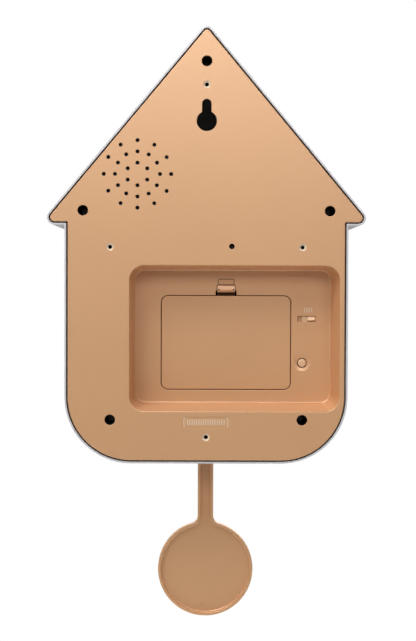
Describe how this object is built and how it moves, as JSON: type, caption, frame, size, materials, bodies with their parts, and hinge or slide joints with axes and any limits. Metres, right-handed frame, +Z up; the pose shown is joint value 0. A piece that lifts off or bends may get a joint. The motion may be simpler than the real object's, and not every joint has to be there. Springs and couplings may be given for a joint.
{
  "type": "cuckoo clock",
  "caption": "House-shaped battery cuckoo clock for a wall: gold rear cover with keyhole, speaker grille and battery tray, white front, bird door, dial with hands, and a swinging round pendulum.",
  "frame": {"origin": "point of the flat rear face on the centre line, just above the keyhole slot", "axes": "+Y out of the rear face towards the wall, +Z up, +X to the right of someone facing the dial"},
  "size_m": [0.1998, 0.082, 0.3797],
  "materials": {
    "champagne_gold": "satin metallic paint",
    "white_plastic": "satin gloss",
    "black_plastic": "matt",
    "natural_nylon": "moulded",
    "board_green": "solder mask",
    "zinc_steel": "zinc plated",
    "dark_steel": "black oxide",
    "copper_winding": "enamelled winding",
    "brass_gear": "machined",
    "speaker_paper": "pressed paper",
    "ferrite": "sintered",
    "cell_sleeve": "printed sleeve, plain"
  },
  "bodies": {
    "root": {"battery_1": "cell_sleeve", "battery_2": "cell_sleeve", "battery_3": "cell_sleeve", "battery_box": "black_plastic", "battery_contact_1": "zinc_steel", "battery_contact_2": "zinc_steel", "battery_contact_3": "zinc_steel", "battery_spring_1": "zinc_steel", "battery_spring_2": "zinc_steel", "battery_spring_3": "zinc_steel", "bird_bracket": "zinc_steel", "bird_door_frame": "champagne_gold", "bird_door_pin": "zinc_steel", "bird_frame_screw": "dark_steel", "bird_motor": "zinc_steel", "board_capacitor": "black_plastic", "button_switch": "black_plastic", "case_screw_1": "dark_steel", "case_screw_2": "dark_steel", "case_screw_3": "dark_steel", "case_screw_4": "dark_steel", "case_screw_5": "dark_steel", "control_board": "board_green", "dial": "white_plastic", "dial_nut": "brass_gear", "dial_ring": "champagne_gold", "drive_bracket": "black_plastic", "drive_coil": "copper_winding", "front_panel": "white_plastic", "front_shell": "white_plastic", "movement_coil": "copper_winding", "movement_front": "black_plastic", "movement_rear": "black_plastic", "pendulum_pivot": "zinc_steel", "rear_cover": "champagne_gold", "sound_chip": "black_plastic", "speaker_cone": "speaker_paper", "speaker_frame": "zinc_steel", "speaker_magnet": "ferrite", "switch_body": "zinc_steel"},
    "pendulum_arm": {"pendulum": "champagne_gold", "pendulum_hanger": "black_plastic", "pendulum_magnet": "ferrite"},
    "battery_door": {"battery_door": "champagne_gold"},
    "battery_latch": {"battery_latch": "champagne_gold"},
    "switch_knob": {"switch_knob": "champagne_gold"},
    "set_button": {"set_button": "champagne_gold"},
    "minute": {"minute_wheel": "zinc_steel", "minute_hand": "champagne_gold", "hand_nut": "champagne_gold"},
    "hour": {"hour_wheel": "natural_nylon", "hour_hand": "champagne_gold"},
    "motion": {"motion_wheel": "natural_nylon"},
    "bird": {"bird": "white_plastic", "bird_beak": "champagne_gold", "bird_carriage": "white_plastic"},
    "bird_gear": {"bird_gear": "natural_nylon"},
    "motor_pinion": {"motor_pinion": "brass_gear"},
    "bird_door": {"bird_door": "white_plastic"}
  },
  "joints": [
    {"name": "pendulum_swing", "type": "hinge", "parent": "root", "child": "pendulum_arm", "pos_m": [0, -0.042, -0.2], "axis": [0, 1, 0], "range_deg": [-8, 8]},
    {"name": "battery_door_tilt", "type": "hinge", "parent": "root", "child": "battery_door", "pos_m": [-0.0129, -0.026, -0.1859], "axis": [-1, 0, 0], "range_deg": [0, 36]},
    {"name": "battery_latch_flex", "type": "hinge", "parent": "battery_door", "child": "battery_latch", "pos_m": [-0.0129, -0.031, -0.1254], "axis": [-1, 0, 0], "range_deg": [0, 8], "stiffness_Nm_per_rad": 0.1},
    {"name": "switch_slide", "type": "slide", "parent": "root", "child": "switch_knob", "axis": [1, 0, 0], "range_m": [0, 0.006]},
    {"name": "set_button_press", "type": "slide", "parent": "root", "child": "set_button", "axis": [0, -1, 0], "range_m": [0, 0.001], "stiffness_N_per_m": 300},
    {"name": "minute_spin", "type": "hinge", "parent": "root", "child": "minute", "pos_m": [0, -0.07, -0.15], "axis": [0, 1, 0], "continuous": true},
    {"name": "hour_spin", "type": "hinge", "parent": "root", "child": "hour", "pos_m": [0, -0.072, -0.15], "axis": [0, 1, 0], "continuous": true},
    {"name": "motion_spin", "type": "hinge", "parent": "root", "child": "motion", "pos_m": [0.008, -0.07, -0.15], "axis": [0, 1, 0], "continuous": true},
    {"name": "bird_slide", "type": "slide", "parent": "root", "child": "bird", "axis": [0, -1, 0], "range_m": [0, 0.034]},
    {"name": "bird_door_open", "type": "hinge", "parent": "root", "child": "bird_door", "pos_m": [0.0194, -0.08, -0.042], "axis": [0, 0, 1], "range_deg": [0, 96]},
    {"name": "bird_gear_spin", "type": "hinge", "parent": "root", "child": "bird_gear", "pos_m": [-0.0142, -0.058, -0.0617], "axis": [0, 0, 1], "range_deg": [-275, 0]},
    {"name": "motor_pinion_spin", "type": "hinge", "parent": "root", "child": "motor_pinion", "pos_m": [-0.0244, -0.058, -0.0617], "axis": [0, 0, 1], "range_deg": [0, 655]}
  ],
  "couplings": [
    {"joint": "hour_spin", "follows": "minute_spin", "ratio": 0.083333},
    {"joint": "motion_spin", "follows": "minute_spin", "ratio": -0.33333},
    {"joint": "bird_door_open", "follows": "bird_slide", "rad_per_m": 48.767},
    {"joint": "bird_gear_spin", "follows": "bird_slide", "rad_per_m": -138.89},
    {"joint": "motor_pinion_spin", "follows": "bird_slide", "rad_per_m": 333.33}
  ]
}
